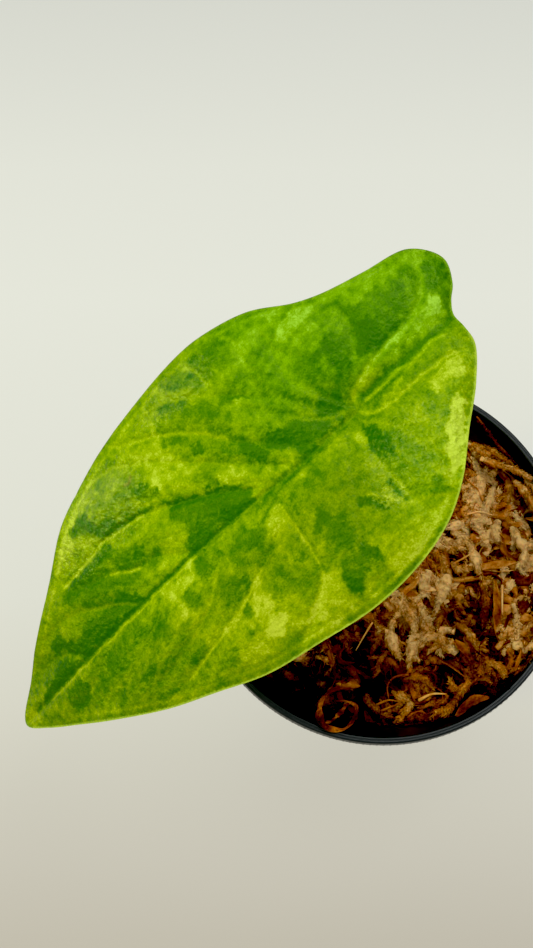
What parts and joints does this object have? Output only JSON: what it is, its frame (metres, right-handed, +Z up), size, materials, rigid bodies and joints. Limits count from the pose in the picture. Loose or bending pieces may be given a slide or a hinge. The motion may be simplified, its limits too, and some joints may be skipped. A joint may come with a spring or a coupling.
{
  "type": "potted alocasia scalprum",
  "caption": "Young arrowhead-leaved aroid with a variegated shield-shaped leaf on a stalk, in a round nursery pot of moss.",
  "frame": {"origin": "centre of the pot's flat base, on the surface that it stands on", "axes": "+Z up out of the pot; the picture is taken from above the -Y side, with +X to its right, and the leaf's tip points to -X and -Y"},
  "size_m": [0.1366, 0.1009, 0.1841],
  "materials": {
    "pot_plastic": "satin",
    "moss": "matte",
    "corm": "matte",
    "petiole": "satin",
    "leaf": "satin"
  },
  "bodies": {
    "root": {"pot": "pot_plastic", "moss_bed": "moss", "corm_with_roots": "corm", "petiole": "petiole", "leaf_blade": "leaf"}
  },
  "joints": []
}
